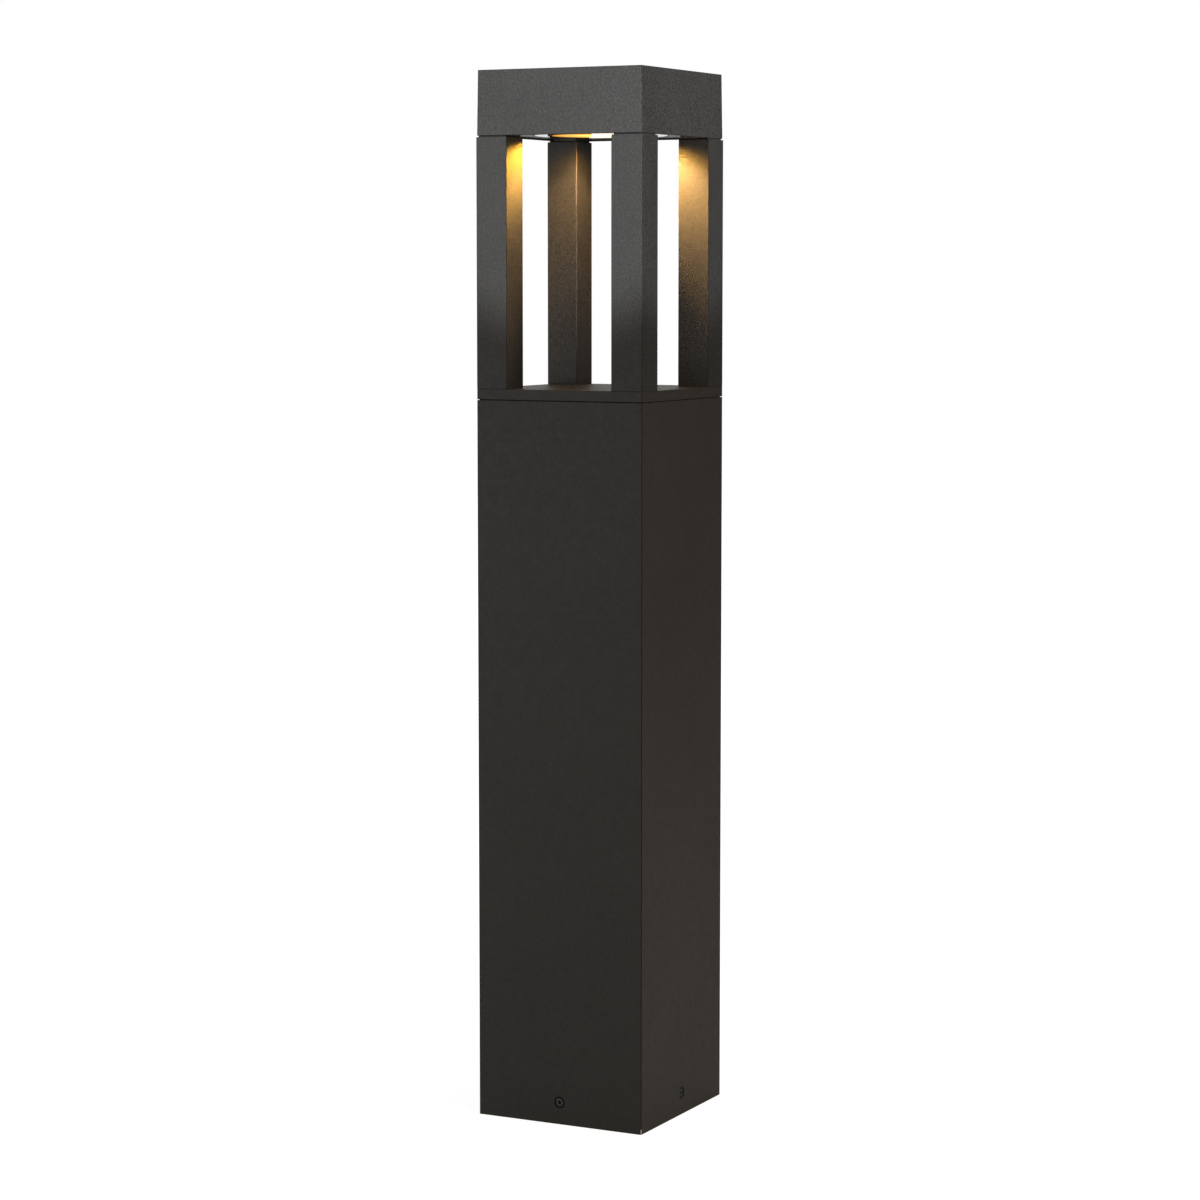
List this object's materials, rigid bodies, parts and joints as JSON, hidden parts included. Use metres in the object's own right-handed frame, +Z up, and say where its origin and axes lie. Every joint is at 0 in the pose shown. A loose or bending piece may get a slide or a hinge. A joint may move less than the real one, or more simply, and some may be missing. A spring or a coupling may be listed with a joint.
{
  "type": "bollard light",
  "caption": "Slim square bollard light: plain column, open lantern of corner posts and a flat cap whose downlight shines on the floor plate.",
  "frame": {"origin": "centre of the square footprint, on the ground", "axes": "+Z up along the column; the front face looks along -Y and the right face along +X"},
  "size_m": [0.14, 0.14, 0.8],
  "materials": {
    "powder_coat": "smooth satin powder coat, dark anthracite",
    "sand_coat": "fine sand-textured powder coat, anthracite",
    "black_steel": "blackened stainless steel",
    "zinc_steel": "zinc-plated steel",
    "bare_aluminium": "as-cast and machined aluminium",
    "cast_base": "primed aluminium casting",
    "black_rubber": "black silicone and EPDM rubber",
    "lens_glass": "tempered glass with a dark printed border and a frosted window",
    "reflector": "polished, warm toned",
    "led_emitter": "phosphor disc",
    "led_board": "white solder mask on an aluminium core",
    "grey_plastic": "moulded grey plastic",
    "white_plastic": "moulded white plastic",
    "black_plastic": "moulded black nylon",
    "lead_jacket": "black rubber jacket",
    "earth_jacket": "green jacket"
  },
  "bodies": {
    "root": {"column_tube": "powder_coat", "floor_plate": "powder_coat", "top_cap": "sand_coat", "lamp_plate": "sand_coat", "post_front_left": "sand_coat", "post_front_right": "sand_coat", "post_rear_right": "sand_coat", "post_rear_left": "sand_coat", "side_screw_front": "black_steel", "side_screw_right": "black_steel", "side_screw_rear": "black_steel", "side_screw_left": "black_steel", "tie_rod_front_left": "zinc_steel", "tie_rod_front_right": "zinc_steel", "tie_rod_rear_right": "zinc_steel", "tie_rod_rear_left": "zinc_steel", "housing_screw_front": "zinc_steel", "housing_screw_right": "zinc_steel", "housing_screw_rear": "zinc_steel", "housing_screw_left": "zinc_steel", "board_screw_1": "zinc_steel", "board_screw_2": "zinc_steel", "tray_screw_1": "zinc_steel", "tray_screw_2": "zinc_steel", "driver_screw_1": "zinc_steel", "driver_screw_2": "zinc_steel", "lid_screw_1": "zinc_steel", "lid_screw_2": "zinc_steel", "gear_tray": "zinc_steel", "earth_terminal": "zinc_steel", "earth_screw": "zinc_steel", "column_flange": "bare_aluminium", "lamp_ring": "bare_aluminium", "lamp_housing": "bare_aluminium", "heat_sink": "bare_aluminium", "mounting_base": "cast_base", "column_gasket": "black_rubber", "lens_gasket": "black_rubber", "lens_seal": "black_rubber", "post_gasket_front_left": "black_rubber", "post_gasket_front_right": "black_rubber", "post_gasket_rear_right": "black_rubber", "post_gasket_rear_left": "black_rubber", "lens_glass": "lens_glass", "reflector": "reflector", "led_emitter": "led_emitter", "led_board": "led_board", "led_driver": "grey_plastic", "terminal_box": "grey_plastic", "terminal_box_lid": "grey_plastic", "terminal_block": "white_plastic", "lamp_gland": "black_plastic", "supply_gland": "black_plastic", "driver_gland": "black_plastic", "driver_lead": "lead_jacket", "lamp_lead": "lead_jacket", "earth_lead": "earth_jacket"}
  },
  "joints": []
}
